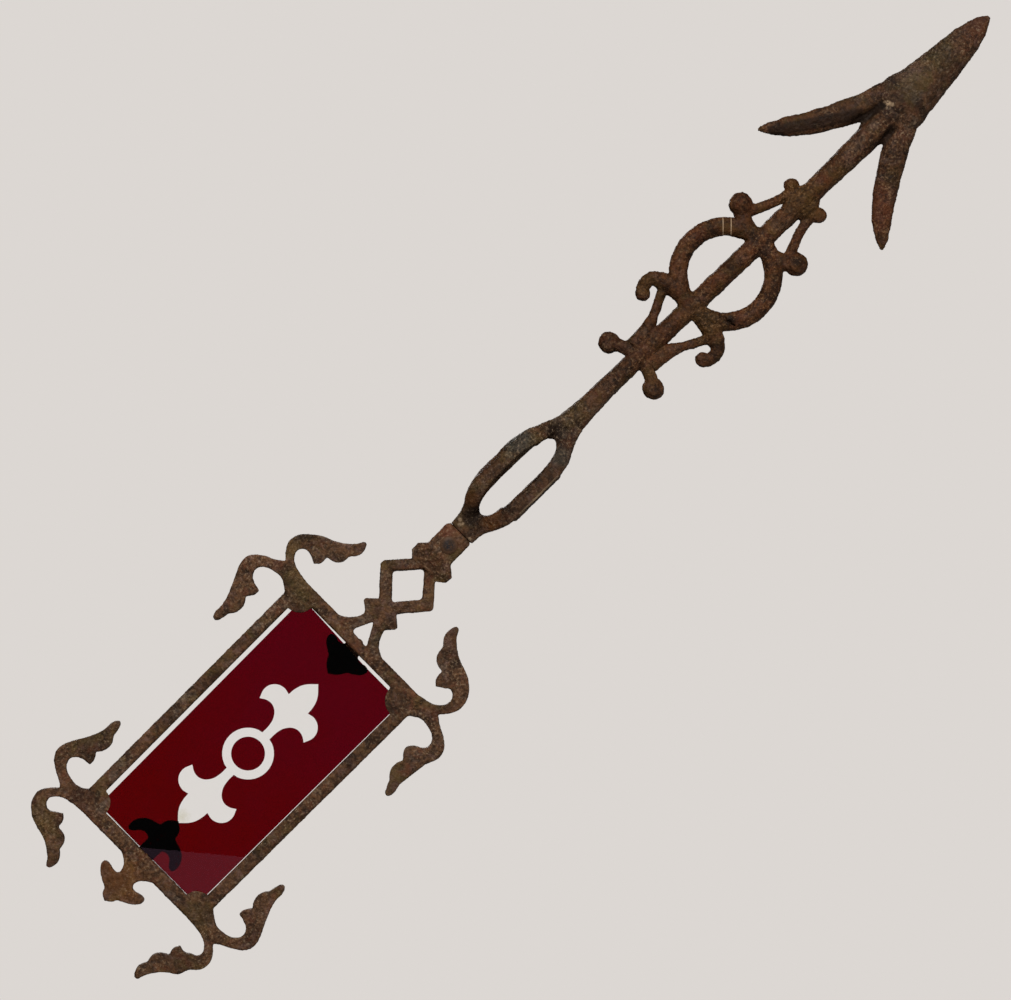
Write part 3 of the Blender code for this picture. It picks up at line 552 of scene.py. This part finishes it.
def arrow_casting():
    marks = (warm_middle, barb_shade, ring_scratches, pad_edge_light_and_shade)
    iron = iron_material("arrow_iron", 0.45, 1.0, 0.75, arrow_stains(), marks)
    arrow = cast_copy("arrow_casting", "arrow_cast", 0.56 * MM, 2, 0.8 * MM, 0.5 * MM, 0.2 * MM)
    for fillet in FILLETS:
        fill_corner(arrow, *fillet)
    cut_crack(arrow, *CRACK, 1.0 * MM, 2.0 * MM)
    for valley in VALLEYS:
        press_valley(arrow, *valley)
    finish_piece(arrow, iron, "arrow", "cast_iron", "arrow_casting")


def tail_castings():
    """The tail frame and the two keepers behind its glass."""
    iron = iron_material("tail_iron", 0.55, 1.40, 0.6, tail_stains())
    tail = cast_copy("tail_frame", "tail_cast", 0.54 * MM, 1, 0.5 * MM, 0.42 * MM)
    thin_towards(tail, *SOCKET_SLOPE, LATTICE_HALF)
    hold_back(tail, "tail_frame", "pane_glass")
    finish_piece(tail, iron, "arrow", "cast_iron", "tail_frame")
    for node in ("keeper_tail", "keeper_neck"):
        keeper = cast_copy(node, f"{node}_cast", 0.4 * MM, 3, 0.15 * MM, 0.15 * MM)
        finish_piece(keeper, iron, "arrow", "cast_iron", node)


def rivet_and_screws():
    steel = steel_material()
    for node in ("neck_rivet", "keeper_screw_tail", "keeper_screw_neck"):
        head = cast_copy(node, f"{node}_worn", 0.25 * MM, 3, 0.12 * MM, 0.08 * MM)
        if node == "neck_rivet":
            flatten_head(head, RIVET_SEAT, HEAD_SHARE)
        finish_piece(head, steel, "arrow", "rivet_steel", node)


# ---- Glass ----

RUBY_TAIL = (0.124, 0.0001, 0.0012)
RUBY_NECK = (0.116, 0.0005, 0.0066)
CLEAR = (0.997, 1.0, 0.997)
DUSTY = (0.95, 0.95, 0.93)
# Painted shadow of a keeper's tip on the clear petal nearest the tail: its colour, place and size
KEEPER_SHADOW = (0.84, 0.83, 0.72)
KEEPER_SHADOW_PLACE = (-0.2275, -0.003, -0.0020)  # on the clear petal nearest the tail
KEEPER_SHADOW_RADIUS = 5.5 * MM
GLASS = {"Roughness": 0.0, "IOR": 1.45, "Transmission_Weight": 1.0}


def clear_glass_material():
    """Old window glass, with a little dust and a painted shadow on the petal nearest the tail."""
    material, g = new_material("clear_glass_look")
    at = g.place()
    dust = g.noise(at, 0.0035, 5, 0.7)
    colour = g.mix(g.step(dust, 0.60, 0.75, 0, 0.25), CLEAR, DUSTY)
    # A painted shadow of a keeper's tip on the clear petal nearest the tail
    colour = g.mix(g.near(at, KEEPER_SHADOW_PLACE, KEEPER_SHADOW_RADIUS, dust), colour, KEEPER_SHADOW)
    g.shade(Base_Color=colour, **GLASS)
    return material


def ruby_glass_material():
    """The ruby skin, more crimson towards the tail and more purple towards the neck."""
    material, g = new_material("ruby_glass_look")
    at = g.place()
    along = g.add("ShaderNodeSeparateXYZ", {0: at}).outputs["X"]
    streaks = g.noise(at, 0.018, 3)
    low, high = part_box("pane_ruby_layer")
    purple = g.step(along, low[0], high[0])
    purple = g.math("ADD", purple, g.step(streaks, 0.3, 0.7, -0.15, 0.15), clamp=True)
    colour = g.mix(purple, RUBY_TAIL, RUBY_NECK)
    g.shade(Base_Color=colour, **GLASS)
    return material


def pane():
    dress("pane_glass", clear_glass_material())
    ruby = ruby_glass_material()
    dress("pane_ruby_layer", ruby)
    dress("pane_ruby_disc", ruby)


# ---- Studio ----


def add_world():
    """A pale backdrop, seen straight and through the glass. It lights the iron only softly, and glossy
    surfaces mirror a dark room."""
    world = bpy.data.worlds.new("studio")
    bpy.context.scene.world = world
    world.use_nodes = True
    g = Graph(world.node_tree)
    path = g.add("ShaderNodeLightPath").outputs
    # A ray that has only passed through glass has made one step, its last, that isn't a transmission
    other_steps = g.math("SUBTRACT", path["Ray Depth"], path["Transmission Depth"])
    seen = g.math("LESS_THAN", other_steps, 1.5)
    through = g.math("MULTIPLY_ADD", path["Is Transmission Ray"], THROUGH_GLASS - 1, 1.0)
    strength = g.add("ShaderNodeMix", {0: path["Is Glossy Ray"], 2: FILL, 3: DARK_ROOM}).outputs[0]
    room = g.add("ShaderNodeBackground", {"Color": (1.0, 0.96, 0.92), "Strength": strength})
    backdrop = g.add("ShaderNodeBackground", {"Color": BACKDROP, "Strength": through})
    mixed = g.add("ShaderNodeMixShader", {0: seen, 1: room.outputs[0], 2: backdrop.outputs[0]})
    g.add("ShaderNodeOutputWorld", {"Surface": mixed.outputs[0]})


def aim(obj, target):
    """Points a lamp or camera, which looks along its own -Z, at target."""
    way = Vector(target) - obj.location
    obj.rotation_euler = way.to_track_quat("-Z", "Y").to_euler()


def add_lamp(name, place, target, size, watts, colour):
    light = bpy.data.lights.new(name, "AREA")
    light.shape = "SQUARE"
    light.size = size
    light.energy = watts
    light.color = colour
    lamp = bpy.data.objects.new(name, light)
    bpy.context.scene.collection.objects.link(lamp)
    lamp.location = place
    aim(lamp, target)
    return lamp


def add_floor():
    """A round pale floor below the object, seen only from above."""
    mesh = bpy.data.meshes.new("floor")
    turns = [2 * math.pi * i / FLOOR_SIDES for i in range(FLOOR_SIDES)]
    rim = [(FLOOR_RADIUS * math.cos(a), FLOOR_RADIUS * math.sin(a), 0) for a in turns]
    mesh.from_pydata(rim, [], [range(FLOOR_SIDES)])
    floor = bpy.data.objects.new("floor", mesh)
    bpy.context.scene.collection.objects.link(floor)
    floor.location = (0, 0, FLOOR_Z)
    material, g = new_material("pale_floor")
    cloudy = g.noise(g.place(), 0.25, 3)
    colour = g.mix(cloudy, (0.70, 0.67, 0.64), (0.74, 0.70, 0.67))
    g.shade(Base_Color=colour, Roughness=0.9)
    mesh.materials.append(material)


def add_camera():
    camera_data = bpy.data.cameras.new("camera")
    camera_data.lens = LENS_MM
    camera_data.sensor_width = SENSOR_MM
    camera = bpy.data.objects.new("camera", camera_data)
    bpy.context.scene.collection.objects.link(camera)
    distance = VIEW_WIDTH * LENS_MM / SENSOR_MM
    camera_data.clip_end = 20
    camera.location = VIEW_CENTRE - Vector((0, distance, 0))
    upright = Euler((math.pi / 2, 0, 0)).to_matrix()
    camera.rotation_euler = (upright @ Matrix.Rotation(-VIEW_ROLL, 3, "Z")).to_euler()
    bpy.context.scene.camera = camera
    return camera


def add_window(camera):
    """The dim window, seen only as a reflection."""
    stretch = 1 + WINDOW_DISTANCE / -camera.location.y  # how much larger the window is than its image
    axis = Vector((camera.location.x, 0, camera.location.z))
    start, end = (axis + stretch * (point - axis) for point in WINDOW_EDGE)
    along = (end - start).normalized()
    outwards = Vector((0, 1, 0)).cross(along)
    window = add_lamp("window", (0, 0, 0), (0, 1, 0), WINDOW_SIZE, WINDOW_WATTS, WINDOW_COLOUR)
    centre = (start + end) / 2 + outwards * WINDOW_SIZE / 2 - Vector((0, WINDOW_DISTANCE, 0))
    facing = Matrix((outwards, along, Vector((0, -1, 0)))).transposed()
    window.matrix_world = Matrix.LocRotScale(centre, facing, None)
    window.visible_camera = False
    window.visible_diffuse = False
    window.visible_transmission = False


def studio():
    add_world()
    add_lamp("key", KEY_PLACE, (0, 0, 0), KEY_SIZE, KEY_WATTS, (1.0, 0.96, 0.91))
    add_lamp("back", BACK_PLACE, (0, 0, 0), BACK_SIZE, BACK_WATTS, (1.0, 0.98, 0.96))
    add_floor()
    add_window(add_camera())
    bpy.context.scene.view_settings.view_transform = "Standard"


arrow_casting()
tail_castings()
rivet_and_screws()
pane()
studio()
